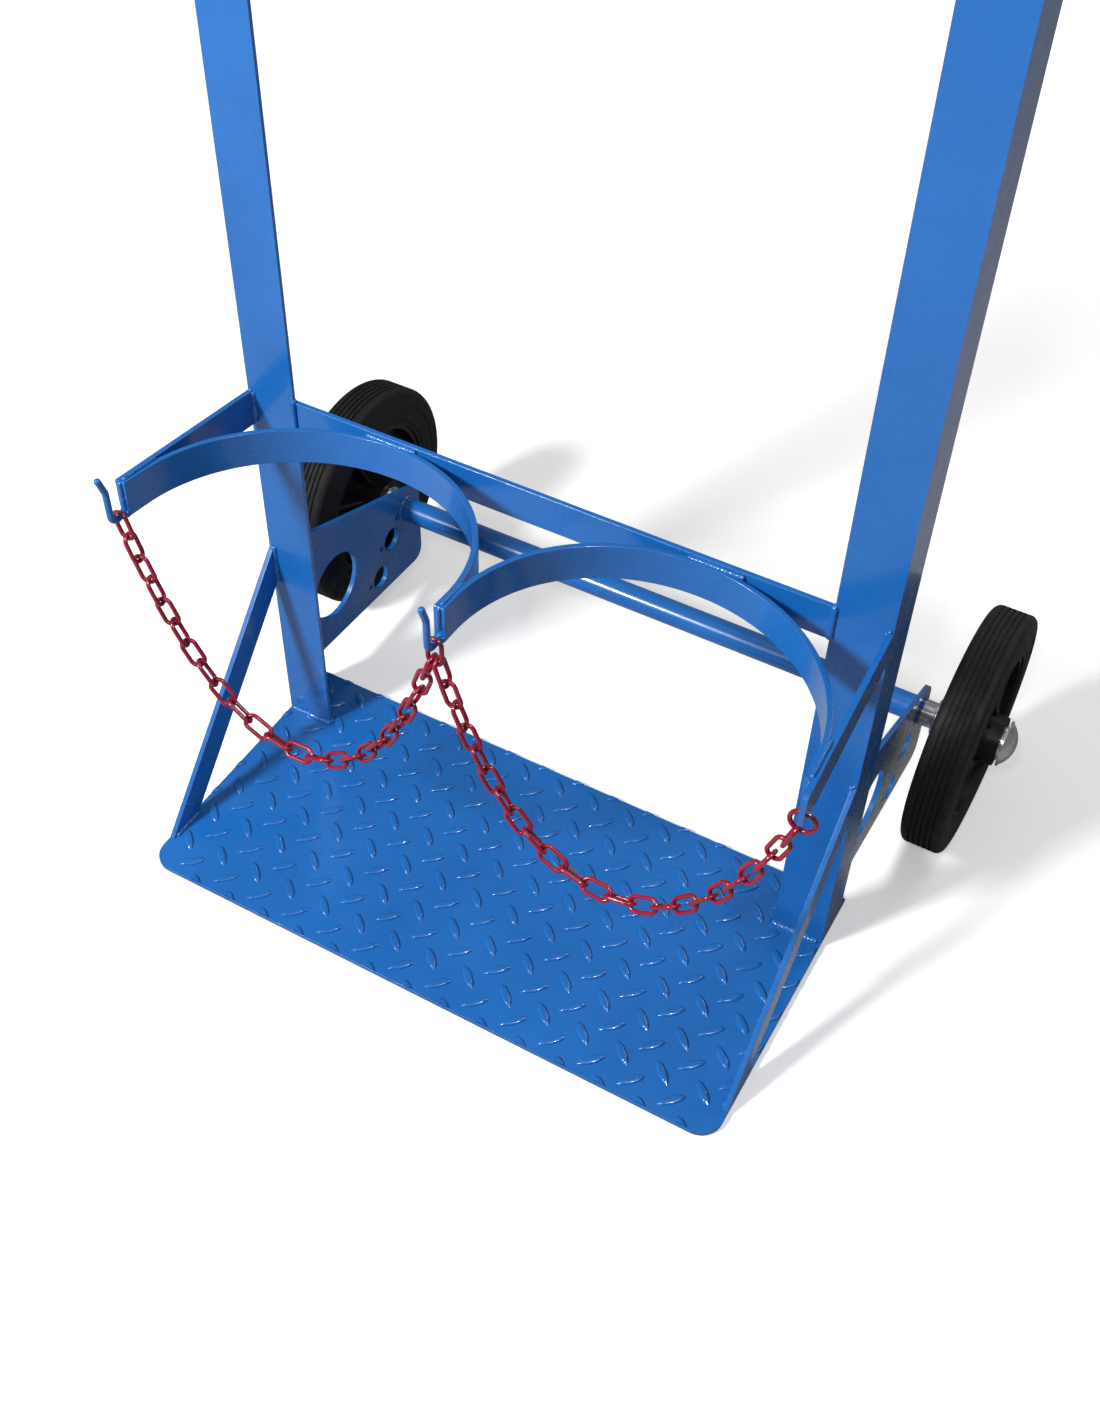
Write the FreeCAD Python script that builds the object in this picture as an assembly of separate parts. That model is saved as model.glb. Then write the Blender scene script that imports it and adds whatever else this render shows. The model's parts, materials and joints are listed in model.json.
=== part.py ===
import FreeCAD, Part
import math
import os
from FreeCAD import Vector

# Gas cylinder trolley for two bottles, in millimetres.
# +X is the right-hand side, +Y the back, where the wheels are, and +Z is up.
# The origin is on the floor, in the middle of the outline seen from above.

# Base plate
plate_width = 620.0
plate_depth = 304.0
plate_thickness = 5.0
plate_corner_radius = 22.0

# Angle-section uprights
angle_leg = 50.0
angle_thickness = 5.0
angle_root_radius = 5.0
angle_toe_radius = 2.0
upright_setback = 242.0
upright_top = 1040.0

# Flat bar cross members
bar_height = 35.0
bar_thickness = 5.0
lower_bar_top = 426.0
upper_bar_drop = 60.0

# Bows that hold the bottles, and the flats beside them
bow_height = 35.0
bow_thickness = 5.0
bow_top = 422.0
bow_arm_length = 15.7
left_tip_rise = 13.0
middle_tip_rise = 20.0
right_tip_rise = 0.0
flat_thickness = 5.0
flat_splay_angle = 2.8
flat_tip_radius = 6.0
flat_tip_margin = 10.0
ring_hole_diameter = 9.0
ring_hole_height = 11.0
weld_gap = 0.1

# Braces from the plate to the uprights
brace_width = 30.0
brace_thickness = 5.0
brace_toe_setback = 32.0
brace_top = 236.0

# Chain hooks
hook_diameter = 6.0
hook_rise = 2.0
hook_reach = 18.0
hook_bend_radius = 8.0
hook_post_height = 33.0
hook_tip_length = 17.0
hook_tip_bend_radius = 10.0
hook_tip_angle = 19.0
chain_setback = 8.0

# Chain
link_wire = 4.0
link_inner_width = 9.0
link_pitch = 22.8
link_play = 0.3
links_left = 24
links_right = 23
chain_twist = 40.0
ring_radius = 10.5
ring_pull_angle = 70.0
shared_link_gap = 0.45

# Wheel brackets
bracket_thickness = 5.0
bracket_margin = 26.0
bracket_front_gap = 3.0
bracket_top = 231.0
bracket_bottom_front = 52.0
bracket_bottom_rear = 38.0
bracket_bottom_radius = 14.0
bracket_window_diameter = 76.0
bracket_window_back = 85.0
bracket_window_height = 119.0
spare_hole_offsets = [(-32.0, -21.0), (-57.0, -58.0)]
pin_hole_diameter = 6.0
pin_hole_lead = 20.0

# Axle and wheels
axle_setback = 223.0
axle_diameter = 20.0
axle_tube_diameter = 26.9
axle_tube_overhang = 2.0
sleeve_clearance = 0.1
running_clearance = 0.08
press_clearance = 0.05
axial_play = 0.3
spacer_length = 13.2
washer_diameter = 36.0
washer_thickness = 3.0
wheel_diameter = 250.0
tyre_width = 42.0
tyre_shoulder_radius = 7.0
tyre_depth = 40.0
groove_count = 5
groove_width = 2.0
groove_depth = 1.8
groove_pitch = 5.4
rim_thickness = 5.0
rim_width = 38.0
rim_web_thickness = 8.0
hub_diameter = 50.0
hub_length = 64.0
bush_wall = 4.0
cap_rim = 13.5
cap_lip = 1.5
cap_flange_thickness = 1.6
cap_dome_height = 10.5
cap_wall = 2.0

# Handles
handle_diameter = 26.9
handle_wall = 2.6
handle_overlap = 160.0
handle_rise = 20.0
handle_bend_radius = 70.0
handle_lean = 65.0
handle_straight = 112.0
grip_length = 110.0
grip_wall = 3.6
grip_end_wall = 4.0
grip_end_radius = 5.0

# Places worked out from the sizes above
wheel_radius = wheel_diameter / 2
overall_length = upright_setback + axle_setback + wheel_radius
plate_front = -overall_length / 2
upright_front = plate_front + upright_setback
upright_half = plate_width / 2
flange_inner = upright_half - angle_thickness
flange_back = upright_front + angle_leg
flat_inner = upright_half - flat_thickness
splay = math.radians(flat_splay_angle)
bow_reach = flat_inner * math.cos(splay) - weld_gap * (1 - math.sin(splay))
bow_radius = bow_reach / (1 + math.cos(splay) - math.sin(splay))
bow_centre_y = upright_front - weld_gap - bow_radius
bow_bottom = bow_top - bow_height
upper_bar_top = upright_top - upper_bar_drop
bow_tip = bow_centre_y - bow_arm_length
bow_run = upright_front - bow_tip
slope_room = abs(left_tip_rise) + abs(middle_tip_rise) + abs(right_tip_rise)
hook_x = flat_inner + bow_run * math.tan(splay)
left_hook_z = bow_bottom + left_tip_rise + hook_rise
middle_hook_z = bow_bottom + middle_tip_rise + hook_rise
ring_hole_z = bow_bottom + right_tip_rise + ring_hole_height
chain_y = bow_tip - chain_setback
ring_x = flat_inner + flat_thickness / 2 + (upright_front - chain_y) * math.tan(splay)
axle_y = upright_front + axle_setback
axle_z = wheel_radius
bracket_outer = flange_inner
tube_end = bracket_outer + axle_tube_overhang
hub_inner = tube_end + spacer_length + washer_thickness + axial_play
hub_outer = hub_inner + hub_length
wheel_x = (hub_inner + hub_outer) / 2
cap_seat = hub_outer + axial_play + washer_thickness
sleeve_bore = axle_diameter / 2 + sleeve_clearance
dome_base = axle_diameter / 2 + cap_rim - cap_lip
dome_radius = (dome_base ** 2 + cap_dome_height ** 2) / (2 * cap_dome_height)
dome_centre = cap_seat + cap_flange_thickness + cap_dome_height - dome_radius
cap_floor = dome_centre + math.sqrt(dome_radius ** 2 - (sleeve_bore + cap_wall) ** 2) - cap_wall
axle_end = cap_floor - sleeve_clearance
sides = [("left", -1), ("right", 1)]

# Fineness of the worked-out curves
least_length = 1e-6
steepest_curve = 20.0
curve_steps = 80


def rounded_edges(points, radii, closed):
    """Straight runs through the points, with an arc of the given radius at each corner."""
    corners = []
    for index, here in enumerate(points):
        radius = radii[index]
        if radius == 0:
            corners.append((here, None, here))
            continue
        back = (points[index - 1] - here).normalize()
        ahead = (points[(index + 1) % len(points)] - here).normalize()
        half = back.getAngle(ahead) / 2
        reach = radius / math.tan(half)
        inward = (back + ahead).normalize()
        crown = here + inward * (radius / math.sin(half) - radius)
        corners.append((here + back * reach, crown, here + ahead * reach))
    edges = []
    last = len(points) - 1
    for index, (start, crown, end) in enumerate(corners):
        if crown is not None:
            edges.append(Part.Arc(start, crown, end).toShape())
        following = corners[(index + 1) % len(points)][0]
        if (closed or index < last) and end.distanceToPoint(following) > least_length:
            edges.append(Part.makeLine(end, following))
    return edges


def plate_along(corners, to_space, depth):
    """A plate with the outline of (a, b, corner radius) points, as deep as the vector."""
    points = [to_space(a, b) for a, b, radius in corners]
    radii = [radius for a, b, radius in corners]
    return Part.Face(Part.Wire(rounded_edges(points, radii, True))).extrude(depth)


def side_plate(side, outer_x, thickness, corners):
    """A plate that stands in the YZ plane, with its outer face at outer_x on that side."""
    inward = Vector(-side * thickness, 0, 0)
    return plate_along(corners, lambda y, z: Vector(side * outer_x, y, z), inward)


def block(low, high):
    """A box between two corners."""
    size = high - low
    return Part.makeBox(size.x, size.y, size.z, low)


def bored(shape, x, y, z, diameter, length):
    """The shape with a hole along X that starts at the point."""
    return shape.cut(Part.makeCylinder(diameter / 2, length, Vector(x, y, z), Vector(1, 0, 0)))


def rod_along(edges, diameter):
    """A round rod that follows the edges."""
    path = Part.Wire(edges)
    start = edges[0].valueAt(edges[0].FirstParameter)
    heading = edges[0].tangentAt(edges[0].FirstParameter)
    profile = Part.Wire([Part.Circle(start, heading, diameter / 2).toShape()])
    return path.makePipeShell([profile], True, False)


def above_axle(side, x, radius):
    """The point straight above the axle's centre line, by that radius."""
    return Vector(side * x, axle_y, axle_z + radius)


def revolved(edges):
    """The outline turned a full circle about the axle."""
    face = Part.Face(Part.Wire(edges))
    return face.revolve(Vector(0, axle_y, axle_z), Vector(1, 0, 0), 360)


def turned(side, profile):
    """A ring or disc about the axle, from (x, radius) points on the right-hand side."""
    points = [above_axle(side, x, radius) for x, radius in profile]
    return revolved(Part.makePolygon(points + [points[0]]).Edges)


def sleeve(side, start, end, inner_radius, outer_radius):
    """A plain sleeve on the axle."""
    profile = [(start, inner_radius), (start, outer_radius), (end, outer_radius), (end, inner_radius)]
    return turned(side, profile)


def base_plate():
    """The tread plate that the bottles stand on, with its front corners rounded."""
    half = plate_width / 2
    back = plate_front + plate_depth
    corners = [
        (-half, plate_front, plate_corner_radius),
        (half, plate_front, plate_corner_radius),
        (half, back, 0),
        (-half, back, 0),
    ]
    return plate_along(corners, lambda x, y: Vector(x, y, 0), Vector(0, 0, plate_thickness))


def upright(side):
    """An angle section that stands on the plate, with its heel at the front outer corner."""
    outer = side * upright_half
    toe = side * (upright_half - angle_leg)
    inner = side * flange_inner
    web = upright_front + angle_thickness
    corners = [
        (outer, upright_front, 0),
        (toe, upright_front, 0),
        (toe, web, angle_toe_radius),
        (inner, web, angle_root_radius),
        (inner, flange_back, angle_toe_radius),
        (outer, flange_back, 0),
    ]
    height = Vector(0, 0, upright_top - plate_thickness)
    return plate_along(corners, lambda x, y: Vector(x, y, plate_thickness), height)


def cross_bar(top):
    """A flat bar on edge between the uprights' front flanges."""
    reach = upright_half - angle_leg
    low = Vector(-reach, upright_front, top - bar_height)
    return block(low, Vector(reach, upright_front + bar_thickness, top))


def outer_rise(side, y):
    """How far the outer arm and its flat have risen there, above their level at the upright."""
    tip_rise = left_tip_rise if side < 0 else right_tip_rise
    return tip_rise * (upright_front - y) / bow_run


def sloping_layer(side):
    """The layer between a bow's lower and upper edges, level at the bar and raised at the two tips."""
    outer = outer_rise(side, bow_tip)
    mean = (outer + middle_tip_rise) / 2
    twist = (outer - middle_tip_rise) / 2
    reach = 1 + bow_thickness / bow_radius
    corners = []
    for across, along in ((-reach, reach), (reach, reach), (reach, -reach), (-reach, -reach)):
        x = side * bow_radius * (1 + across)
        y = upright_front - along * bow_run
        corners.append(Vector(x, y, bow_bottom + mean * along + twist * across))
    return Part.Face(Part.makePolygon(corners + [corners[0]])).extrude(Vector(0, 0, bow_height))


def bow(side):
    """A flat bar bent to an arc, with arms that slope up to the front. The outer arm lies along its flat."""
    centre = side * bow_radius
    low = bow_bottom - slope_room
    edges = []
    tips = []
    for radius in (bow_radius, bow_radius - bow_thickness):
        middle = Vector(centre - side * radius, bow_centre_y, low)
        crown = Vector(centre, bow_centre_y + radius, low)
        outer_x = centre + side * radius * math.cos(splay)
        outer = Vector(outer_x, bow_centre_y + radius * math.sin(splay), low)
        middle_tip = Vector(middle.x, bow_tip, low)
        outer_tip = Vector(outer_x + side * (outer.y - bow_tip) * math.tan(splay), bow_tip, low)
        edges.append(Part.Arc(middle, crown, outer).toShape())
        edges.append(Part.makeLine(middle, middle_tip))
        edges.append(Part.makeLine(outer, outer_tip))
        tips.append((middle_tip, outer_tip))
    for outside, inside in zip(*tips):
        edges.append(Part.makeLine(outside, inside))
    wire = Part.Wire(Part.__sortEdges__(edges))
    wall = Part.Face(wire).extrude(Vector(0, 0, bow_height + 2 * slope_room))
    return wall.common(sloping_layer(side)).Solids[0]


def side_flat(side):
    """The flat that splays from the upright to the bow's tip. The right one goes on to the chain's ring."""
    tip = bow_tip if side < 0 else chain_y - flat_tip_margin
    tip_radius = 0 if side < 0 else flat_tip_radius
    rise = outer_rise(side, tip)
    corners = [
        (tip, bow_bottom + rise, tip_radius),
        (upright_front, bow_bottom, 0),
        (upright_front, bow_top, 0),
        (tip, bow_top + rise, tip_radius),
    ]

    def outer_face(y, z):
        return Vector(side * (upright_half + (upright_front - y) * math.tan(splay)), y, z)

    flat = plate_along(corners, outer_face, Vector(-side * flat_thickness, 0, 0))
    if side > 0:
        start = ring_x - flat_thickness
        flat = bored(flat, start, chain_y, ring_hole_z, ring_hole_diameter, 2 * flat_thickness)
    return flat


def brace(side):
    """A sloping flat from the plate's front corner to the upright."""
    toe = plate_front + brace_toe_setback
    run = upright_front - toe
    rise = brace_top - plate_thickness
    slope = math.atan2(rise, run)
    corners = [
        (toe, plate_thickness, 0),
        (toe + brace_width / math.sin(slope), plate_thickness, 0),
        (upright_front, brace_top - brace_width / math.cos(slope), 0),
        (upright_front, brace_top, 0),
    ]
    return side_plate(side, upright_half, brace_thickness, corners)


def hook(x, rod_z):
    """A bent rod on the bow's tip, with its point leaning forwards."""
    front = bow_tip - hook_reach
    post_top = rod_z + hook_post_height
    lean = math.radians(hook_tip_angle)
    points = [
        Vector(x, bow_tip, rod_z),
        Vector(x, front, rod_z),
        Vector(x, front, post_top),
        Vector(x, front - hook_tip_length * math.sin(lean), post_top + hook_tip_length * math.cos(lean)),
    ]
    edges = rounded_edges(points, [0, hook_bend_radius, hook_tip_bend_radius, 0], False)
    point = Part.makeSphere(hook_diameter / 2, points[-1])
    return rod_along(edges, hook_diameter).fuse(point).removeSplitter()


def bracket(side):
    """The plate inside the upright's side flange that carries the axle."""
    front = upright_front + angle_thickness + angle_root_radius + bracket_front_gap
    rear = axle_y + bracket_margin
    run = axle_y - front
    drop = bracket_top - axle_z
    fall = math.atan2(drop, run) - math.asin(bracket_margin / math.hypot(run, drop))
    corners = [
        (front, bracket_bottom_front, 0),
        (rear, bracket_bottom_rear, bracket_bottom_radius),
        (rear, bracket_top - (rear - front) * math.tan(fall), bracket_margin),
        (front, bracket_top, 0),
    ]
    plate = side_plate(side, bracket_outer, bracket_thickness, corners)
    low_x = min(side * bracket_outer, side * (bracket_outer - bracket_thickness))
    tube_hole = axle_tube_diameter + 2 * sleeve_clearance
    window_y = upright_front + bracket_window_back
    plate = bored(plate, low_x, window_y, bracket_window_height, bracket_window_diameter, bracket_thickness)
    for back, up in [(0.0, 0.0)] + spare_hole_offsets:
        y = axle_y + back
        z = axle_z + up
        plate = bored(plate, low_x, y, z, tube_hole, bracket_thickness)
        plate = bored(plate, low_x, y - pin_hole_lead, z, pin_hole_diameter, bracket_thickness)
    return plate


def axle_tube():
    """The tube through both brackets that holds the axle."""
    return sleeve(1, -tube_end, tube_end, sleeve_bore, axle_tube_diameter / 2)


def axle():
    """The round bar that carries both wheels."""
    radius = axle_diameter / 2
    return turned(1, [(-axle_end, 0), (-axle_end, radius), (axle_end, radius), (axle_end, 0)])


def spacer(side):
    """The sleeve that keeps the wheel clear of the bracket."""
    return sleeve(side, tube_end, tube_end + spacer_length, sleeve_bore, axle_tube_diameter / 2)


def washer(side, start):
    """A flat washer on the axle."""
    return sleeve(side, start, start + washer_thickness, sleeve_bore, washer_diameter / 2)


def axle_cap(side):
    """The domed cap pushed onto the axle's end."""
    flange = axle_diameter / 2 + cap_rim
    shoulder = cap_seat + cap_flange_thickness
    crown = dome_centre + dome_radius
    half = math.asin(dome_base / dome_radius) / 2
    flank = above_axle(side, dome_centre + dome_radius * math.cos(half), dome_radius * math.sin(half))
    profile = [(crown, 0), (cap_floor, 0), (cap_floor, sleeve_bore), (cap_seat, sleeve_bore)]
    profile += [(cap_seat, flange), (shoulder, flange), (shoulder, dome_base)]
    points = [above_axle(side, x, radius) for x, radius in profile]
    edges = Part.makePolygon(points).Edges
    edges.append(Part.Arc(points[-1], flank, points[0]).toShape())
    return revolved(edges)


def tyre(side):
    """A solid rubber tyre with rounded shoulders and grooves round its tread."""
    half = tyre_width / 2
    inner = wheel_radius - tyre_depth
    corners = [
        (wheel_x - half, inner, 0),
        (wheel_x + half, inner, 0),
        (wheel_x + half, wheel_radius, tyre_shoulder_radius),
        (wheel_x - half, wheel_radius, tyre_shoulder_radius),
    ]
    points = [above_axle(side, x, radius) for x, radius, corner in corners]
    ring = revolved(rounded_edges(points, [corner for x, radius, corner in corners], True))
    for index in range(groove_count):
        middle = wheel_x + (index - (groove_count - 1) / 2) * groove_pitch
        low = middle - groove_width / 2
        floor = wheel_radius - groove_depth
        ring = ring.cut(sleeve(side, low, low + groove_width, floor, wheel_radius + groove_depth))
    return ring


def rim(side):
    """The wheel's centre: an outer band, a web and a hub, turned in one piece."""
    band = wheel_radius - tyre_depth - press_clearance
    bore = axle_diameter / 2 + running_clearance + bush_wall + press_clearance
    half_band = rim_width / 2
    half_web = rim_web_thickness / 2
    half_hub = hub_length / 2
    quarter = [
        (half_hub, bore),
        (half_hub, hub_diameter / 2),
        (half_web, hub_diameter / 2),
        (half_web, band - rim_thickness),
        (half_band, band - rim_thickness),
        (half_band, band),
    ]
    outline = [(wheel_x + x, radius) for x, radius in quarter]
    outline += [(wheel_x - x, radius) for x, radius in reversed(quarter)]
    return turned(side, outline)


def bush(side):
    """The plain bearing that turns on the axle."""
    bore = axle_diameter / 2 + running_clearance
    return sleeve(side, hub_inner, hub_outer, bore, bore + bush_wall)


def handle_route(side):
    """The corner points of a handle tube's centre line."""
    offset = handle_diameter / 2 + weld_gap
    x = side * (flange_inner - offset)
    y = upright_front + angle_thickness + offset
    lean = math.radians(handle_lean)
    reach = handle_bend_radius * math.tan(lean / 2)
    bend = Vector(x, y, upright_top + handle_rise + reach)
    arm = Vector(0, math.sin(lean), math.cos(lean))
    foot = Vector(x, y, upright_top - handle_overlap)
    return [foot, bend, bend + arm * (reach + handle_straight)], arm


def handle(side):
    """A bent tube inside the top of the upright."""
    points, arm = handle_route(side)
    edges = rounded_edges(points, [0, handle_bend_radius, 0], False)
    bore = rod_along(edges, handle_diameter - 2 * handle_wall)
    return rod_along(edges, handle_diameter).cut(bore)


def grip(side):
    """A sleeve over the handle's end, closed at the end."""
    points, arm = handle_route(side)
    bore = handle_diameter / 2 + sleeve_clearance
    outer = bore + grip_wall
    start = points[-1] + arm * (sleeve_clearance + grip_end_wall - grip_length)
    body = Part.makeCylinder(outer, grip_length, start, arm)
    far = start + arm * grip_length
    ends = [edge for edge in body.Edges if edge.BoundBox.Center.distanceToPoint(far) < grip_end_wall]
    body = body.makeFillet(min(grip_end_radius, grip_end_wall), ends)
    return body.cut(Part.makeCylinder(bore, grip_length - grip_end_wall, start, arm))


def link():
    """One chain link about the origin, long along X and flat in the XY plane."""
    bend = (link_inner_width + link_wire) / 2
    inner_length = link_pitch + link_play
    straight = inner_length / 2 - link_inner_width / 2
    edges = []
    for end in (1, -1):
        start = Vector(-end * straight, -end * bend, 0)
        low = Vector(end * straight, -end * bend, 0)
        high = Vector(end * straight, end * bend, 0)
        edges.append(Part.makeLine(start, low))
        edges.append(Part.Arc(low, Vector(end * (straight + bend), 0, 0), high).toShape())
    return rod_along(edges, link_wire)


def hanging_curve(start, end, length):
    """The point at each distance along a chain of that length, hung from start to end."""
    span = end.x - start.x
    rise = end.z - start.z
    slack = math.sqrt(length ** 2 - rise ** 2) / span
    low = least_length
    high = steepest_curve
    for step in range(curve_steps):
        middle = (low + high) / 2
        if math.sinh(middle) / middle < slack:
            low = middle
        else:
            high = middle
    scale = span / (2 * low)
    lowest = span / 2 - scale * math.atanh(rise / length)
    offset = scale * math.sinh(lowest / scale)

    def point(distance):
        x = lowest + scale * math.asinh((distance - offset) / scale)
        drop = scale * (math.cosh((x - lowest) / scale) - math.cosh(lowest / scale))
        return Vector(start.x + x, start.y, start.z + drop)

    return point


def chain(joints, first_roll):
    """Links from joint to joint, each turned a quarter against the last, with a slow twist."""
    across = Vector(0, 1, 0)
    model = link()
    links = []
    count = len(joints) - 1
    for index in range(count):
        heading = (joints[index + 1] - joints[index]).normalize()
        upward = heading.cross(across).normalize()
        twist = chain_twist * math.sin(math.pi * index / (count - 1)) if count > 1 else 0.0
        roll = math.radians(first_roll + 90 * (index % 2) + twist)
        width = upward * math.cos(roll) + across * math.sin(roll)
        rotation = FreeCAD.Rotation(heading, width, heading.cross(width), "XYZ")
        copy = model.copy()
        copy.Placement = FreeCAD.Placement((joints[index] + joints[index + 1]) * 0.5, rotation)
        links.append(copy)
    return links


def chain_parts():
    """The two hanging spans, the link between them and the ring at the right-hand end."""
    wire_seat = (link_wire + link_play) / 2
    rod_seat = (hook_diameter + link_play) / 2
    hang_top = Vector(0, chain_y, middle_hook_z + rod_seat)
    hang_foot = hang_top - Vector(0, 0, link_pitch)
    shared_z = hang_foot.z - link_play / 2 + link_inner_width / 2
    shared_x = (link_wire + shared_link_gap) / 2
    left_end = Vector(-shared_x, chain_y, shared_z)
    right_start = Vector(shared_x, chain_y, shared_z)

    left_rod = Vector(-hook_x, chain_y, left_hook_z)
    left_curve = hanging_curve(left_rod, left_end, links_left * link_pitch - rod_seat + wire_seat)
    left_joints = [left_curve(index * link_pitch - rod_seat) for index in range(links_left + 1)]

    hole_floor = ring_hole_z - ring_hole_diameter / 2
    ring_sag = ring_radius - math.sqrt(ring_radius ** 2 - (flat_thickness / 2) ** 2)
    ring_top = hole_floor + ring_sag + link_wire / 2 + link_play
    ring_centre = Vector(ring_x, chain_y, ring_top - ring_radius)
    pull = math.radians(ring_pull_angle)
    seat = ring_radius - link_wire - link_play
    right_end = ring_centre - Vector(math.cos(pull), 0, math.sin(pull)) * seat
    right_curve = hanging_curve(right_start, right_end, links_right * link_pitch + 2 * wire_seat)
    right_joints = [right_curve(index * link_pitch + wire_seat) for index in range(links_right + 1)]
    ring = Part.makeTorus(ring_radius, link_wire / 2, ring_centre, Vector(0, 1, 0))

    print("middle link swings about", hang_top + Vector(0, 0, wire_seat))
    print("left span swings about", left_curve(-rod_seat - wire_seat), left_end)
    print("right span swings about", right_start, Vector(ring_centre.x, chain_y, ring_top))
    return {
        "chain_left": chain(left_joints, 0.0),
        "chain_middle_link": chain([hang_top, hang_foot], 0.0),
        "chain_right": chain(right_joints, 90.0),
        "chain_end_ring": [ring],
    }


def all_parts():
    """Every piece of the trolley by its name, each as a list of solids."""
    parts = {
        "base_plate": [base_plate()],
        "lower_cross_bar": [cross_bar(lower_bar_top)],
        "upper_cross_bar": [cross_bar(upper_bar_top)],
        "hook_left": [hook(-hook_x, left_hook_z)],
        "hook_middle": [hook(0.0, middle_hook_z)],
        "axle_tube": [axle_tube()],
        "axle": [axle()],
    }
    for name, side in sides:
        parts["upright_" + name] = [upright(side)]
        parts["bow_" + name] = [bow(side)]
        parts["side_flat_" + name] = [side_flat(side)]
        parts["brace_" + name] = [brace(side)]
        parts["wheel_bracket_" + name] = [bracket(side)]
        parts["spacer_" + name] = [spacer(side)]
        parts["inner_washer_" + name] = [washer(side, tube_end + spacer_length)]
        parts["outer_washer_" + name] = [washer(side, hub_outer + axial_play)]
        parts["axle_cap_" + name] = [axle_cap(side)]
        parts["tyre_" + name] = [tyre(side)]
        parts["rim_" + name] = [rim(side)]
        parts["bush_" + name] = [bush(side)]
        parts["handle_" + name] = [handle(side)]
        parts["grip_" + name] = [grip(side)]
    parts.update(chain_parts())
    return parts


os.makedirs("parts", exist_ok=True)
for node, solids in all_parts().items():
    shape = solids[0] if len(solids) == 1 else Part.makeCompound(solids)
    shape.exportStep("parts/" + node + ".step")
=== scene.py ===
import json
import math
import random

import bmesh
import bpy
from mathutils import Matrix, Vector


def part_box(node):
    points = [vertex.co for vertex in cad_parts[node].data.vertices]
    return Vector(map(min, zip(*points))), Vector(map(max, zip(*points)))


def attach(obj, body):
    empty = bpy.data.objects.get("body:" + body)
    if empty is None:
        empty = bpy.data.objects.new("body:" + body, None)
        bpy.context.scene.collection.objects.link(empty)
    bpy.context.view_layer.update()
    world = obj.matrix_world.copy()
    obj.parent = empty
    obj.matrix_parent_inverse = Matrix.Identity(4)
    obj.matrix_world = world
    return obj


# The looks of the gas cylinder trolley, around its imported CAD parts.
# Shapes are worked out in millimetres, and MM turns their points into metres.
# Noise scales are per metre. Edges, lights, floor and camera are in metres, and lights in watts.

MM = 0.001

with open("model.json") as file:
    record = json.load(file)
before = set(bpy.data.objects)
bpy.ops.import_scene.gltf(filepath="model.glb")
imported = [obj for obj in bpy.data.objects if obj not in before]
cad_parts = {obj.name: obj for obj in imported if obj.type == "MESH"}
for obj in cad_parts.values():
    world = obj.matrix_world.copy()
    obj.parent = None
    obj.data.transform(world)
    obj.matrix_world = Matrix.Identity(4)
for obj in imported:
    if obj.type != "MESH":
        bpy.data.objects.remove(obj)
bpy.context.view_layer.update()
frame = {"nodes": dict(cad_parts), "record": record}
nodes = frame["nodes"]
scene = bpy.context.scene
sides = {"left": -1, "right": 1}


# Finishes: each noise has its scale and detail, and where it needs them its roughness and stretch

noise_low = 0.3
noise_high = 0.7

paint_shade = (9.0, 4.0)
paint_grain = (900.0, 2.0)
paint_gloss = (60.0, 3.0)
paint_peel = (140.0, 1.0)
paint_peel_depth = 0.0003
paint_grain_dark = 0.98
paint_grain_ends = (0.25, 0.75)
paint_specular = 0.40
coat_roughness = 0.09

metal_shade = (60.0, 3.0)
metal_gloss = (90.0, 2.0)
turning_marks = (500.0, 2.0, 0.5, (8.0, 0.4, 0.4))
turning_strength = 0.05
turning_depth = 0.0002

dust_detail = 6.0
dust_roughness = 0.65
dust_ends = (0.35, 0.72)
black_gloss = (80.0, 3.0)
black_specular = 0.25
black_relief_detail = 4.0
black_relief_share = 2.5
black_relief_depth = 0.0006


def grey(level):
    return (level, level, level)


def new_material(name):
    material = bpy.data.materials.new(name)
    material.use_nodes = True
    tree = material.node_tree
    shader = tree.nodes["Principled BSDF"]
    return material, tree, shader


def noise_value(tree, scale, detail, roughness=0.5, stretch=None):
    """A noise texture in the row frame."""
    coordinates = tree.nodes.new("ShaderNodeTexCoord")
    texture = tree.nodes.new("ShaderNodeTexNoise")
    texture.inputs["Scale"].default_value = scale
    texture.inputs["Detail"].default_value = detail
    texture.inputs["Roughness"].default_value = roughness
    source = coordinates.outputs["Object"]
    if stretch:
        mapping = tree.nodes.new("ShaderNodeMapping")
        mapping.inputs["Scale"].default_value = stretch
        tree.links.new(source, mapping.inputs["Vector"])
        source = mapping.outputs["Vector"]
    tree.links.new(source, texture.inputs["Vector"])
    return texture.outputs["Fac"]


def ramp(tree, value, ends, dark, light):
    """A colour ramp over a value, from a dark colour to a light one."""
    node = tree.nodes.new("ShaderNodeValToRGB")
    for element, position, colour in zip(node.color_ramp.elements, ends, (dark, light)):
        element.position = position
        element.color = (*colour, 1.0)
    tree.links.new(value, node.inputs["Fac"])
    return node.outputs["Color"]


def spread(tree, value, low, high):
    """The middle part of a noise value mapped to low to high."""
    node = tree.nodes.new("ShaderNodeMapRange")
    node.inputs["From Min"].default_value = noise_low
    node.inputs["From Max"].default_value = noise_high
    node.inputs["To Min"].default_value = low
    node.inputs["To Max"].default_value = high
    tree.links.new(value, node.inputs["Value"])
    return node.outputs["Result"]


def bump(tree, shader, value, strength, distance):
    node = tree.nodes.new("ShaderNodeBump")
    node.inputs["Strength"].default_value = strength
    node.inputs["Distance"].default_value = distance
    tree.links.new(value, node.inputs["Height"])
    tree.links.new(node.outputs["Normal"], shader.inputs["Normal"])


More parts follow.
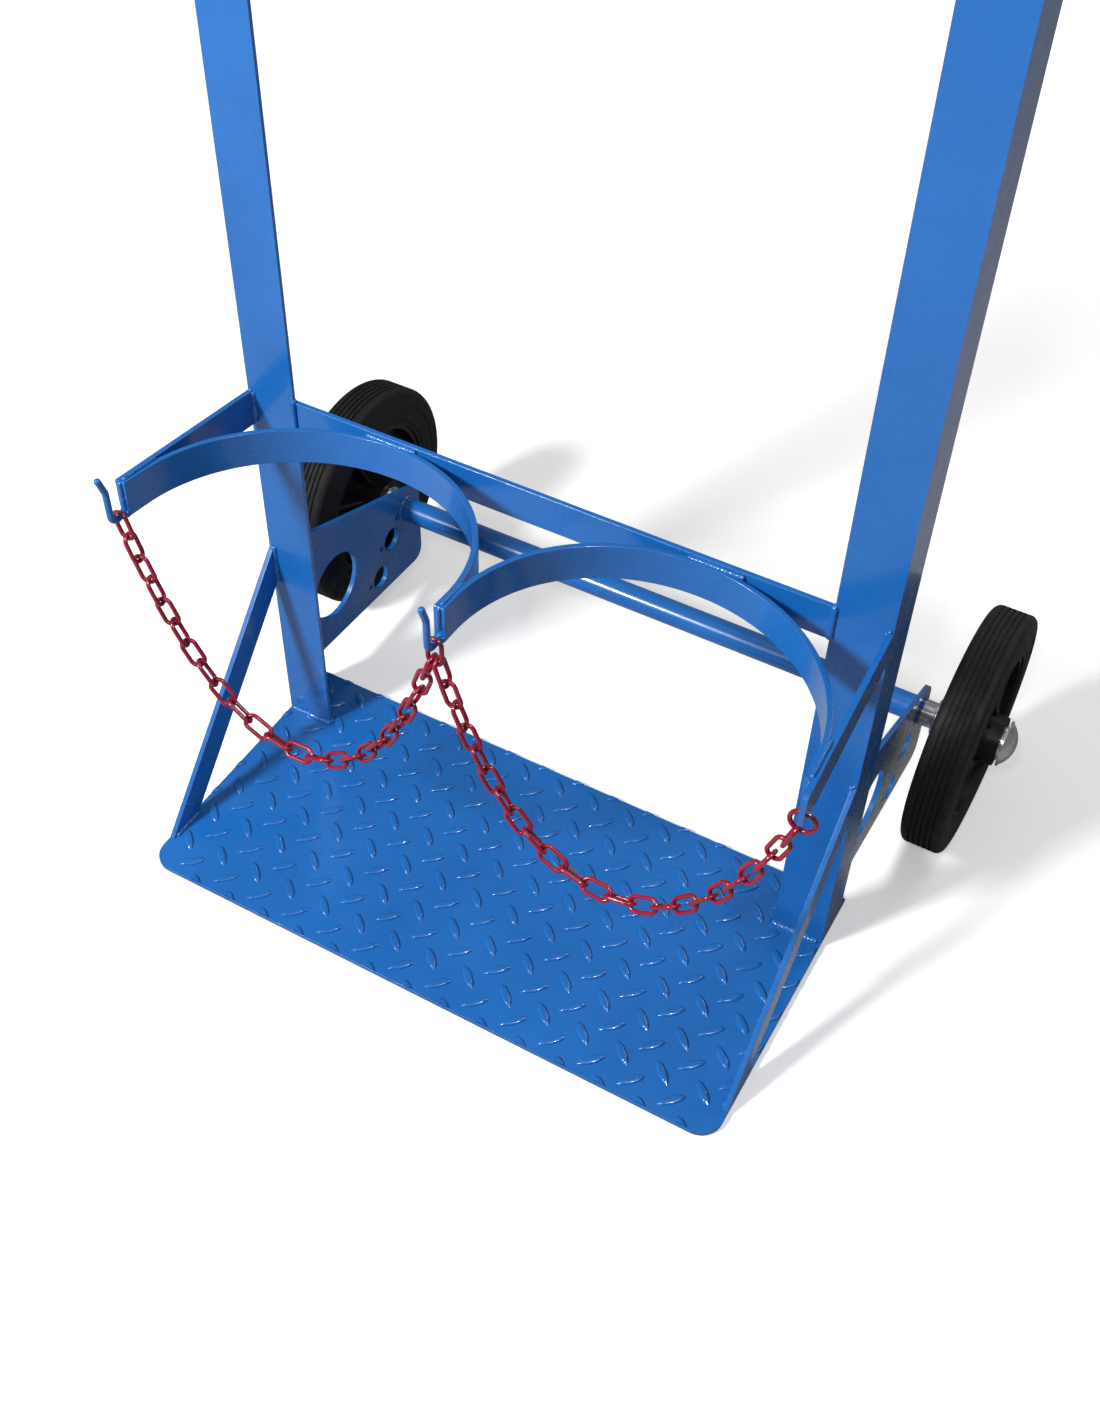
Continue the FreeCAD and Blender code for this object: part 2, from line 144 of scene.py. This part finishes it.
def paint(name, dark, light, roughness, coat, peel):
    """Glossy paint with a slow change of shade, a fine grain and a slight orange peel."""
    material, tree, shader = new_material(name)
    shade = ramp(tree, noise_value(tree, *paint_shade), (noise_low, noise_high), dark, light)
    speckle = noise_value(tree, *paint_grain)
    grain = ramp(tree, speckle, paint_grain_ends, grey(paint_grain_dark), grey(1.0))
    mixed = tree.nodes.new("ShaderNodeMix")
    mixed.data_type = "RGBA"
    mixed.blend_type = "MULTIPLY"
    mixed.inputs["Factor"].default_value = 1.0
    tree.links.new(shade, mixed.inputs["A"])
    tree.links.new(grain, mixed.inputs["B"])
    tree.links.new(mixed.outputs["Result"], shader.inputs["Base Color"])
    gloss = spread(tree, noise_value(tree, *paint_gloss), *roughness)
    tree.links.new(gloss, shader.inputs["Roughness"])
    shader.inputs["Coat Weight"].default_value = coat
    shader.inputs["Coat Roughness"].default_value = coat_roughness
    shader.inputs["Specular IOR Level"].default_value = paint_specular
    bump(tree, shader, noise_value(tree, *paint_peel), peel, paint_peel_depth)
    return material


def metal(name, dark, light, roughness):
    """Zinc plate: a metal with cloudy brightness and fine turning marks."""
    material, tree, shader = new_material(name)
    shade = ramp(tree, noise_value(tree, *metal_shade), (noise_low, noise_high), dark, light)
    tree.links.new(shade, shader.inputs["Base Color"])
    shader.inputs["Metallic"].default_value = 1.0
    gloss = spread(tree, noise_value(tree, *metal_gloss), *roughness)
    tree.links.new(gloss, shader.inputs["Roughness"])
    bump(tree, shader, noise_value(tree, *turning_marks), turning_strength, turning_depth)
    return material


def dark_matter(name, dark, light, roughness, scale, relief):
    """Black rubber or plastic with pale dust in its grain."""
    material, tree, shader = new_material(name)
    dust = noise_value(tree, scale, dust_detail, dust_roughness)
    tree.links.new(ramp(tree, dust, dust_ends, dark, light), shader.inputs["Base Color"])
    gloss = spread(tree, noise_value(tree, *black_gloss), *roughness)
    tree.links.new(gloss, shader.inputs["Roughness"])
    shader.inputs["Specular IOR Level"].default_value = black_specular
    skin = noise_value(tree, scale * black_relief_share, black_relief_detail)
    bump(tree, shader, skin, relief, black_relief_depth)
    return material


blue = paint("blue_paint", (0.006, 0.111, 0.385), (0.010, 0.134, 0.450), (0.24, 0.32), 0.5, 0.03)
red = paint("red_coating", (0.20, 0.002, 0.015), (0.30, 0.004, 0.028), (0.24, 0.32), 0.4, 0.03)
zinc = metal("zinc_plate", (0.50, 0.51, 0.52), (0.66, 0.66, 0.65), (0.20, 0.30))
rubber = dark_matter("tyre_rubber", grey(0.003), grey(0.010), (0.60, 0.80), 190.0, 0.18)
plastic = dark_matter(
    "black_plastic", (0.003, 0.003, 0.004), (0.009, 0.009, 0.010), (0.36, 0.52), 120.0, 0.12
)
grip_skin = dark_matter("grip_rubber", grey(0.008), grey(0.022), (0.55, 0.75), 320.0, 0.3)

slot_materials = {
    "blue_paint": blue,
    "red_chain": red,
    "zinc": zinc,
    "tyre_rubber": rubber,
    "black_plastic": plastic,
    "grip_rubber": grip_skin,
}


# CAD nodes: materials, and slightly broken edges on the steel and the washers

steel_edge = 0.7 * MM
zinc_edge = 0.4 * MM
edge_angle = math.radians(40)
edge_segments = 3
seam_width = 0.00002
flat_face_weight = 100


def dress(node, slot):
    obj = nodes[node]
    obj.data.materials.clear()
    obj.data.materials.append(slot_materials[slot])


def break_edges(node, width):
    obj = nodes[node]
    weld = obj.modifiers.new("join", "WELD")
    weld.merge_threshold = seam_width
    bevel = obj.modifiers.new("edges", "BEVEL")
    bevel.width = width
    bevel.segments = edge_segments
    bevel.limit_method = "ANGLE"
    bevel.angle_limit = edge_angle
    normals = obj.modifiers.new("normals", "WEIGHTED_NORMAL")
    normals.keep_sharp = False
    normals.weight = flat_face_weight


for entry in frame["record"]["subparts"]:
    dress(entry["node"], entry["material_slot"])

for node in ("base_plate", "lower_cross_bar", "upper_cross_bar"):
    break_edges(node, steel_edge)
for side in sides:
    for stem in ("upright_", "bow_", "side_flat_", "brace_", "wheel_bracket_"):
        break_edges(stem + side, steel_edge)
    for stem in ("spacer_", "inner_washer_", "outer_washer_"):
        break_edges(stem + side, zinc_edge)


# Helpers for the pieces that only the looks need

def corners(node):
    """A node's lowest and highest corners."""
    low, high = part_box(node)
    return low / MM, high / MM


def outermost(node, sign):
    """The x of a node's side that faces away from the trolley's middle."""
    low, high = corners(node)
    return sign * max(abs(low.x), abs(high.x))


def innermost(node, sign):
    """The x of a node's side that faces the trolley's middle."""
    low, high = corners(node)
    return sign * min(abs(low.x), abs(high.x))


def add_piece(name, mesh_data, material, body):
    bmesh.ops.recalc_face_normals(mesh_data, faces=mesh_data.faces[:])
    mesh = bpy.data.meshes.new(name)
    mesh_data.to_mesh(mesh)
    mesh_data.free()
    for polygon in mesh.polygons:
        polygon.use_smooth = True
    mesh.materials.append(material)
    obj = bpy.data.objects.new(name, mesh)
    scene.collection.objects.link(obj)
    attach(obj, body)


def join_rows(mesh, here, following):
    """Faces between two rings of the same count of vertices."""
    count = len(here)
    for j in range(count):
        k = (j + 1) % count
        mesh.faces.new((here[j], here[k], following[k], following[j]))


def add_rings(mesh, rings):
    """Joins rings of points into a skin with closed ends."""
    rows = [[mesh.verts.new(point) for point in ring] for ring in rings]
    for here, following in zip(rows, rows[1:]):
        join_rows(mesh, here, following)
    mesh.faces.new(list(reversed(rows[0])))
    mesh.faces.new(rows[-1])


def add_hoop(mesh, rings):
    """Joins rings of points into a skin that runs back to the first ring."""
    rows = [[mesh.verts.new(point) for point in ring] for ring in rings]
    for here, following in zip(rows, rows[1:] + rows[:1]):
        join_rows(mesh, here, following)


def sampled(points, step):
    """Points along a polyline at an even step."""
    stations = [Vector(point) for point in points]
    found = []
    for start, end in zip(stations, stations[1:]):
        count = max(1, round((end - start).length / step))
        found += [start.lerp(end, index / count) for index in range(count)]
    return found + [stations[-1]]


def circle_points(centre, radius, axis, count):
    """Points round a closed circle about an axis."""
    normal = Vector(axis).normalized()
    across = normal.orthogonal().normalized()
    upward = normal.cross(across)
    found = []
    for index in range(count + 1):
        angle = 2 * math.pi * index / count
        outward = across * math.cos(angle) + upward * math.sin(angle)
        found.append(Vector(centre) + outward * radius)
    return found


# Tread of the base plate: lens-shaped tears in two crossed sets

plate_low, plate_high = corners("base_plate")
tread_pitch_x = 41.0
tread_pitch_y = 41.3
tread_columns = range(-12, 9)
tread_rows = range(-3, 9)
tread_sink = 0.02
tread_trim = 0.8
tread_corner = 20
tear_length = 27.5
tear_width = 8.8
tear_height = 2.3
tear_end_share = 0.36
tear_outline_power = 0.7
tear_top_power = 5
tear_flank_power = 0.7
tear_steps = 18
tear_flanks = 10
merge_distance = 0.000002

# Each set: its first tear's x and distance from the plate's front, and its tears' angle in degrees
tear_sets = ((77.0, 39.2, -43.0), (97.5, 59.8, 45.0))


def add_tear(mesh, centre, angle):
    """One raised tear: a lens seen from above, with a flat top, steep flanks and sloping ends."""
    along = Vector((math.cos(angle), math.sin(angle), 0))
    across = Vector((-along.y, along.x, 0))
    grid = []
    for i in range(tear_steps + 1):
        u = -math.cos(math.pi * i / tear_steps)
        half = tear_width / 2 * (1 - u * u) ** tear_outline_power
        crest = tear_height * min(1.0, (1 - abs(u)) / tear_end_share)
        row = []
        for j in range(tear_flanks + 1):
            v = -math.cos(math.pi * j / tear_flanks)
            lift = crest * (1 - abs(v) ** tear_top_power) ** tear_flank_power
            point = centre + along * (u * tear_length / 2) + across * (v * half)
            row.append(mesh.verts.new((point + Vector((0, 0, lift))) * MM))
        grid.append(row)
    for lower, upper in zip(grid, grid[1:]):
        for j in range(tear_flanks):
            mesh.faces.new((lower[j], lower[j + 1], upper[j + 1], upper[j]))


def cut_off(mesh, place, outward):
    """Cuts away what lies beyond a plane and closes the cut."""
    whole = mesh.verts[:] + mesh.edges[:] + mesh.faces[:]
    cut = bmesh.ops.bisect_plane(
        mesh, geom=whole, plane_co=Vector(place) * MM, plane_no=Vector(outward), clear_outer=True
    )
    edges = [item for item in cut["geom_cut"] if isinstance(item, bmesh.types.BMEdge)]
    bmesh.ops.edgenet_fill(mesh, edges=edges)


def tread():
    mesh = bmesh.new()
    front = plate_low.y
    back = plate_high.y
    half = plate_high.x
    top = plate_high.z - tread_sink
    for origin_x, origin_y, degrees in tear_sets:
        for column in tread_columns:
            for row in tread_rows:
                x = origin_x + column * tread_pitch_x
                y = front + origin_y + row * tread_pitch_y
                beside = abs(x) > half + tear_length / 2
                beyond = not front - tear_length < y < back + tear_length / 2
                in_corner = abs(x) > half - tread_corner and y < front + tread_corner
                if beside or beyond or in_corner:
                    continue
                add_tear(mesh, Vector((x, y, top)), math.radians(degrees))
    cut_off(mesh, (half - tread_trim, 0, 0), (1, 0, 0))
    cut_off(mesh, (tread_trim - half, 0, 0), (-1, 0, 0))
    cut_off(mesh, (0, front + tread_trim, 0), (0, -1, 0))
    cut_off(mesh, (0, back - tread_trim, 0), (0, 1, 0))
    bmesh.ops.remove_doubles(mesh, verts=mesh.verts[:], dist=merge_distance)
    add_piece("plate_tread", mesh, blue, "frame")


tread()


# Weld beads, where the steel pieces meet

bead_step = 0.9
bead_ripple = 3.4
bead_sides = 10
scallop_low = 0.80
scallop_swell = 0.22
taper_start = 0.35
taper_step = 0.5
drift_kept = 0.8
drift_added = 0.10
size_change = 0.05

steel = 5.0
bow_height = 35.0
bow_drop = 4.0
bow_top = corners("lower_cross_bar")[1].z - bow_drop

# Lengths of the beads, and how far from a corner they start or end
edge_gap = 1
toe_gap = 4
heel_gap = 3
foot_start = 12
brace_foot_start = 4
brace_foot_end = 40
brace_weld = 42
bar_turn = 4
bow_weld_half = 26
bow_root_half = 20
arm_weld_start = 3
arm_weld_end = 44
bracket_gap_low = 30
bracket_gap_high = 20
handle_gap = 2
handle_weld = 60
handle_end_left = 12
handle_end_right = 9
middle_weld_end = 36
middle_root_end = 34
middle_weld_fall = 3.0
middle_front_gap = 12
tube_steps = 40
hook_weld_radius = 3.4
hook_weld_height = 3.0
hook_steps = 16


def add_bead(mesh, points, radius, seed):
    """A rippled weld bead along a polyline."""
    chance = random.Random(seed)
    line = sampled(points, bead_step)
    last = len(line) - 1
    rings = []
    phase = chance.uniform(0, bead_ripple)
    drift = Vector((0, 0, 0))
    for index, centre in enumerate(line):
        ahead = line[min(index + 1, last)]
        behind = line[max(index - 1, 0)]
        heading = (ahead - behind).normalized()
        across = heading.orthogonal().normalized()
        upward = heading.cross(across)
        travelled = ((index * bead_step + phase) % bead_ripple) / bead_ripple
        scallop = scallop_low + scallop_swell * math.sqrt(1 - travelled)
        taper = min(1.0, taper_start + taper_step * min(index, last - index))
        sway = Vector((chance.uniform(-1, 1), chance.uniform(-1, 1), chance.uniform(-1, 1)))
        drift = drift * drift_kept + sway * drift_added
        size = radius * scallop * taper * chance.uniform(1 - size_change, 1 + size_change)
        ring = []
        for step in range(bead_sides):
            angle = 2 * math.pi * step / bead_sides
            offset = across * math.cos(angle) + upward * math.sin(angle)
            ring.append((centre + drift + offset * size) * MM)
        rings.append(ring)
    add_rings(mesh, rings)


def upright_beads(side, sign):
    """The beads of an upright's foot, brace, side flat and cross bars, as (points, radius)."""
    upright_low, upright_high = corners("upright_" + side)
    brace_low, brace_high = corners("brace_" + side)
    flat_low = corners("side_flat_" + side)[0]
    plate_top = plate_high.z
    front = upright_low.y
    back = upright_high.y
    web = front + steel
    outer = outermost("upright_" + side, sign)
    toe = innermost("upright_" + side, sign)
    inner = outer - sign * steel
    rim = outer - sign * edge_gap
    heel = outer - sign * heel_gap
    foot_y = brace_low.y + brace_foot_start
    foot_end_y = brace_low.y + brace_foot_end
    brace_top = brace_high.z
    beads = [
        ([(heel, front, plate_top), (toe, front, plate_top), (toe, web, plate_top)], 4.4),
        ([(toe + sign * toe_gap, web, plate_top), (inner - sign * toe_gap, web, plate_top)], 3.4),
        ([(inner, front + foot_start, plate_top), (inner, back, plate_top), (rim, back, plate_top)], 3.8),
        ([(inner, foot_y, plate_top), (inner, foot_end_y, plate_top)], 3.4),
        ([(inner, front, brace_top - brace_weld), (inner, front, brace_top + edge_gap)], 3.2),
        ([(inner, front, brace_top), (rim, front, brace_top)], 2.4),
        ([(inner, front, flat_low.z + edge_gap), (inner, front, bow_top)], 3.2),
        ([(inner, front, bow_top), (rim, front, bow_top)], 3.0),
    ]
    for bar in ("lower_cross_bar", "upper_cross_bar"):
        bar_low, bar_high = corners(bar)
        bar_y = front - 0.5
        start = (toe, bar_y, bar_low.z + edge_gap)
        turn = (toe, bar_y, bar_high.z)
        end = (toe, front + bar_turn, bar_high.z)
        beads.append(([start, turn, end], 3.0))
    return beads


def bow_beads(side, sign):
    """The beads of a bow on the lower cross bar and on its side flat, as (points, radius)."""
    bow_low, bow_high = corners("bow_" + side)
    front = corners("upright_" + side)[0].y
    inner = outermost("upright_" + side, sign) - sign * steel
    bow_x = sign * (abs(bow_low.x) + abs(bow_high.x)) / 2
    seam_y = front - 1
    root = bow_top - bow_height + 4.0
    tip = bow_low.y
    tip_y = tip - 0.5
    arm_tip = outermost("bow_" + side, sign)
    flat_top = corners("side_flat_" + side)[1].z
    lean = (arm_tip - inner) / (front - tip)
    slope = (flat_top - bow_top) / (front - tip)
    arm_top = flat_top - 0.4
    arm_foot = arm_top - bow_height + 2
    arm_fall = slope * (arm_weld_end - arm_weld_start)
    arm_front = (arm_tip - lean * arm_weld_start, tip + arm_weld_start, arm_top)
    arm_back = (arm_tip - lean * arm_weld_end, tip + arm_weld_end, arm_top - arm_fall)
    return [
        ([(bow_x - bow_weld_half, seam_y, bow_top), (bow_x + bow_weld_half, seam_y, bow_top)], 2.8),
        ([(bow_x - bow_root_half, seam_y, root), (bow_x + bow_root_half, seam_y, root)], 2.2),
        ([arm_front, arm_back], 2.4),
        ([(arm_tip, tip_y, arm_top), (arm_tip, tip_y, arm_foot)], 2.2),
    ]


def rear_beads(side, sign):
    """The beads of a wheel bracket, the axle tube and a handle, as (points, radius)."""
    upright_low, upright_high = corners("upright_" + side)
    bracket_low, bracket_high = corners("wheel_bracket_" + side)
    tube_low, tube_high = corners("axle_tube")
    handle_low, handle_high = corners("handle_" + side)
    inner = outermost("upright_" + side, sign) - sign * steel
    seam_y = upright_high.y + 0.5
    seam_low = bracket_low.z + bracket_gap_low
    seam_high = bracket_high.z - bracket_gap_high
    bracket_x = innermost("wheel_bracket_" + side, sign)
    tube_centre = (bracket_x, (tube_low.y + tube_high.y) / 2, (tube_low.z + tube_high.z) / 2)
    tube_radius = (tube_high.z - tube_low.z) / 2 + 0.3
    handle_x = (handle_low.x + handle_high.x) / 2
    handle_y = upright_low.y + steel
    side_y = handle_y + 0.6
    end_y = handle_y + 2
    end_z = upright_high.z
    side_start = (handle_x, side_y, handle_low.z + handle_gap)
    side_end = (handle_x, side_y, handle_low.z + handle_weld)
    return [
        ([(inner, seam_y, seam_low), (inner, seam_y, seam_high)], 2.4),
        (circle_points(tube_centre, tube_radius, (1, 0, 0), tube_steps), 2.6),
        ([side_start, side_end], 2.6),
        ([(handle_x - handle_end_left, end_y, end_z), (handle_x + handle_end_right, end_y, end_z)], 2.8),
    ]


def middle_beads():
    """The beads where the two bows meet, and round the hooks' ends, as (points, radius)."""
    tip = corners("bow_left")[0].y
    tip_y = tip - 0.4
    start_y = tip + arm_weld_start
    top = corners("hook_middle")[0].z + bow_height + 0.6
    root = top - bow_height + 0.8
    front_end = top - bow_height + middle_front_gap
    beads = [
        ([(0, start_y, top), (0, tip + middle_weld_end, top - middle_weld_fall)], 2.2),
        ([(0, tip_y, top), (0, tip_y, front_end)], 2.0),
        ([(0, start_y, root), (0, tip + middle_root_end, root - middle_weld_fall)], 2.0),
    ]
    for hook in ("hook_left", "hook_middle"):
        low, high = corners(hook)
        centre = ((low.x + high.x) / 2, high.y - 0.4, low.z + hook_weld_height)
        beads.append((circle_points(centre, hook_weld_radius, (0, 1, 0), hook_steps), 1.9))
    return beads


def welds():
    mesh = bmesh.new()
    beads = []
    for side, sign in sides.items():
        beads += upright_beads(side, sign) + bow_beads(side, sign) + rear_beads(side, sign)
    beads += middle_beads()
    for seed, (points, radius) in enumerate(beads, 1):
        add_bead(mesh, points, radius, seed)
    add_piece("weld_beads", mesh, blue, "frame")


welds()


# Wheels: raised rings on the tyres' walls, and ribs in the rims

ring_turns = 96
ring_steps = 8
ring_sink = 0.2

# Each ring: its distance in from the tread, half its width, and its height
wall_rings = ((15, 1.6, 0.9), (33, 2.2, 1.1))

rib_count = 8
rib_hub_radius = 25.0
rib_band_width = 5.0
rib_slope_run = 8.0
rib_hub_sink = 1.0
rib_band_sink = 0.5
rib_hub_depth = 21.0
rib_slope_depth = 17.0
rib_band_depth = 13.0
rib_root_half = 2.2
rib_shoulder_half = 1.7
rib_edge_half = 0.8
rib_edge_round = 1.0


def tyre_rings(side):
    low, high = corners("tyre_" + side)
    centre = (low + high) / 2
    radius = (high.z - low.z) / 2
    wall = (high.x - low.x) / 2 - ring_sink
    mesh = bmesh.new()
    for facing in (-1, 1):
        for inset, half, height in wall_rings:
            rings = []
            for turn in range(ring_turns):
                angle = 2 * math.pi * turn / ring_turns
                outward = Vector((0, math.sin(angle), math.cos(angle)))
                ring = []
                for step in range(ring_steps + 1):
                    bulge = math.pi * step / ring_steps
                    across = Vector((facing * (wall + height * math.sin(bulge)), 0, 0))
                    reach = radius - inset + half * math.cos(bulge)
                    ring.append((centre + across + outward * reach) * MM)
                rings.append(ring)
            add_hoop(mesh, rings)
    add_piece("tyre_rings_" + side, mesh, rubber, "wheel_" + side)


def rib_section(depth):
    """A rib's outline across its run, as (distance from the wheel's middle plane, offset)."""
    shoulder = depth - rib_edge_round
    return (
        (0.0, -rib_root_half),
        (shoulder, -rib_shoulder_half),
        (depth, -rib_edge_half),
        (depth, rib_edge_half),
        (shoulder, rib_shoulder_half),
        (0.0, rib_root_half),
    )


def rim_ribs(side):
    tyre_low, tyre_high = corners("tyre_" + side)
    rim_low, rim_high = corners("rim_" + side)
    centre = (tyre_low + tyre_high) / 2
    band = (rim_high.z - rim_low.z) / 2 - rib_band_width
    stations = (
        (rib_hub_radius - rib_hub_sink, rib_hub_depth),
        (rib_hub_radius + rib_slope_run, rib_slope_depth),
        (band - rib_slope_run, rib_band_depth),
        (band + rib_band_sink, rib_band_depth),
    )
    mesh = bmesh.new()
    for facing in (-1, 1):
        for index in range(rib_count):
            angle = 2 * math.pi * (index + 0.5) / rib_count
            outward = Vector((0, math.sin(angle), math.cos(angle)))
            sideways = Vector((0, math.cos(angle), -math.sin(angle)))
            rings = []
            for place, depth in stations:
                ring = []
                for x, offset in rib_section(depth):
                    across = Vector((facing * x, 0, 0))
                    ring.append((centre + across + outward * place + sideways * offset) * MM)
                rings.append(ring)
            add_rings(mesh, rings)
    add_piece("rim_ribs_" + side, mesh, plastic, "wheel_" + side)


# Ribs round the grips

grip_lean = math.radians(65)
grip_radius = 17.15
grip_rib_count = 13
grip_rib_pitch = 6.6
grip_rib_shift = 2.0
grip_rib_height = 1.3
grip_rib_half = 2.2
grip_rib_sink = 0.3
grip_turns = 48
grip_steps = 6


def grip_ribs(side):
    low, high = corners("grip_" + side)
    middle = (low + high) / 2
    arm = Vector((0, math.sin(grip_lean), math.cos(grip_lean)))
    across = Vector((1, 0, 0))
    upward = arm.cross(across)
    mesh = bmesh.new()
    for index in range(grip_rib_count):
        from_middle = index - (grip_rib_count - 1) // 2
        centre = middle + arm * (from_middle * grip_rib_pitch - grip_rib_shift)
        rings = []
        for turn in range(grip_turns):
            angle = 2 * math.pi * turn / grip_turns
            outward = across * math.cos(angle) + upward * math.sin(angle)
            ring = []
            for step in range(grip_steps + 1):
                bulge = math.pi * step / grip_steps
                reach = grip_radius - grip_rib_sink + grip_rib_height * math.sin(bulge)
                along = -grip_rib_half * math.cos(bulge)
                ring.append((centre + outward * reach + arm * along) * MM)
            rings.append(ring)
        add_hoop(mesh, rings)
    add_piece("grip_ribs_" + side, mesh, grip_skin, "frame")


for side in sides:
    tyre_rings(side)
    rim_ribs(side)
    grip_ribs(side)


# Floor, light and camera

floor_half = 9.0
floor_level = -0.0015
floor_noise = (2.0, 3.0)
floor_tones = (0.90, 0.93)
floor_dim = 0.36
floor_near = 1.0
floor_far = 3.0
floor_glow_near = 0.34
floor_glow_far = 0.90
floor_roughness = 0.9
floor_specular = 0.1
world_strength = 0.20

# Each light: its name, place, target, size and power, and whether it lights more than gloss
lights = (
    ("key", (-1.09, -1.95, 2.05), (0.0, -0.1, 0.3), 0.5, 98.0, True),
    ("overhead", (0.2, 0.3, 3.0), (0.0, 0.0, 0.2), 2.0, 4.0, True),
    ("near_camera", (0.45, -1.25, 1.75), (0.0, -0.1, 0.2), 0.08, 4.5, True),
    ("glint", (1.07, -0.58, 1.74), (0.1, -0.2, 0.0), 0.10, 24.0, False),
    ("behind", (0.9, 2.2, 1.9), (0.0, 0.0, 0.4), 1.2, 16.0, True),
)

# The camera that fits the photograph, with its focal length in the photograph's pixels
camera_place = (0.51902, -1.00552, 1.33090)
camera_azimuth = math.radians(28.240)
camera_elevation = math.radians(47.051)
camera_roll = math.radians(1.580)
focal_pixels = 1671.68
photo_height = 1422.0
sensor_size = 36.0
nearest_seen = 0.05
farthest_seen = 100.0


def floor():
    """A pale floor that glows for the camera, and throws less light back onto the trolley."""
    mesh = bmesh.new()
    outline = ((-1, -1), (1, -1), (1, 1), (-1, 1))
    mesh.faces.new([mesh.verts.new((x * floor_half, y * floor_half, floor_level)) for x, y in outline])
    data = bpy.data.meshes.new("floor")
    mesh.to_mesh(data)
    mesh.free()
    obj = bpy.data.objects.new("floor", data)
    scene.collection.objects.link(obj)
    material, tree, shader = new_material("pale_floor")
    dark, light = floor_tones
    cloud = noise_value(tree, *floor_noise)
    tone = ramp(tree, cloud, (noise_low, noise_high), grey(dark), grey(light))
    paths = tree.nodes.new("ShaderNodeLightPath")
    dimmed = tree.nodes.new("ShaderNodeMix")
    dimmed.data_type = "RGBA"
    dimmed.inputs["A"].default_value = (*grey(floor_dim), 1.0)
    tree.links.new(paths.outputs["Is Camera Ray"], dimmed.inputs["Factor"])
    tree.links.new(tone, dimmed.inputs["B"])
    tree.links.new(dimmed.outputs["Result"], shader.inputs["Base Color"])
    place = tree.nodes.new("ShaderNodeTexCoord")
    distance = tree.nodes.new("ShaderNodeVectorMath")
    distance.operation = "LENGTH"
    tree.links.new(place.outputs["Object"], distance.inputs[0])
    haze = tree.nodes.new("ShaderNodeMapRange")
    haze.inputs["From Min"].default_value = floor_near
    haze.inputs["From Max"].default_value = floor_far
    haze.inputs["To Min"].default_value = floor_glow_near
    haze.inputs["To Max"].default_value = floor_glow_far
    tree.links.new(distance.outputs["Value"], haze.inputs["Value"])
    glow = tree.nodes.new("ShaderNodeMath")
    glow.operation = "MULTIPLY"
    tree.links.new(paths.outputs["Is Camera Ray"], glow.inputs[0])
    tree.links.new(haze.outputs["Result"], glow.inputs[1])
    tree.links.new(glow.outputs["Value"], shader.inputs["Emission Strength"])
    shader.inputs["Emission Color"].default_value = (1.0, 1.0, 1.0, 1.0)
    shader.inputs["Roughness"].default_value = floor_roughness
    shader.inputs["Specular IOR Level"].default_value = floor_specular
    data.materials.append(material)


def surroundings():
    """White for the camera, and a soft grey for everything that it lights."""
    world = bpy.data.worlds.new("studio")
    world.use_nodes = True
    tree = world.node_tree
    background = tree.nodes["Background"]
    paths = tree.nodes.new("ShaderNodeLightPath")
    strength = tree.nodes.new("ShaderNodeMapRange")
    strength.inputs["To Min"].default_value = world_strength
    strength.inputs["To Max"].default_value = 1.0
    tree.links.new(paths.outputs["Is Camera Ray"], strength.inputs["Value"])
    tree.links.new(strength.outputs["Result"], background.inputs["Strength"])
    background.inputs["Color"].default_value = (1.0, 1.0, 1.0, 1.0)
    scene.world = world


def area_light(name, place, target, size, power, diffuse):
    light = bpy.data.lights.new(name, "AREA")
    light.shape = "DISK"
    light.size = size
    light.energy = power
    obj = bpy.data.objects.new(name, light)
    obj.location = place
    obj.rotation_mode = "QUATERNION"
    obj.rotation_quaternion = (Vector(target) - Vector(place)).to_track_quat("-Z", "Y")
    obj.visible_diffuse = diffuse
    scene.collection.objects.link(obj)


def camera():
    level_share = math.cos(camera_elevation)
    back = Vector((
        math.sin(camera_azimuth) * level_share,
        -math.cos(camera_azimuth) * level_share,
        math.sin(camera_elevation),
    ))
    level = (-back).cross(Vector((0, 0, 1))).normalized()
    upright = level.cross(-back)
    right = level * math.cos(camera_roll) + upright * math.sin(camera_roll)
    up = upright * math.cos(camera_roll) - level * math.sin(camera_roll)
    data = bpy.data.cameras.new("camera")
    data.sensor_width = sensor_size
    data.lens = focal_pixels / photo_height * sensor_size
    data.clip_start = nearest_seen
    data.clip_end = farthest_seen
    obj = bpy.data.objects.new("camera", data)
    turn = Matrix((right, up, back)).transposed().to_4x4()
    obj.matrix_world = Matrix.Translation(camera_place) @ turn
    scene.collection.objects.link(obj)
    scene.camera = obj


floor()
surroundings()
for light in lights:
    area_light(*light)
camera()
scene.view_settings.view_transform = "Standard"
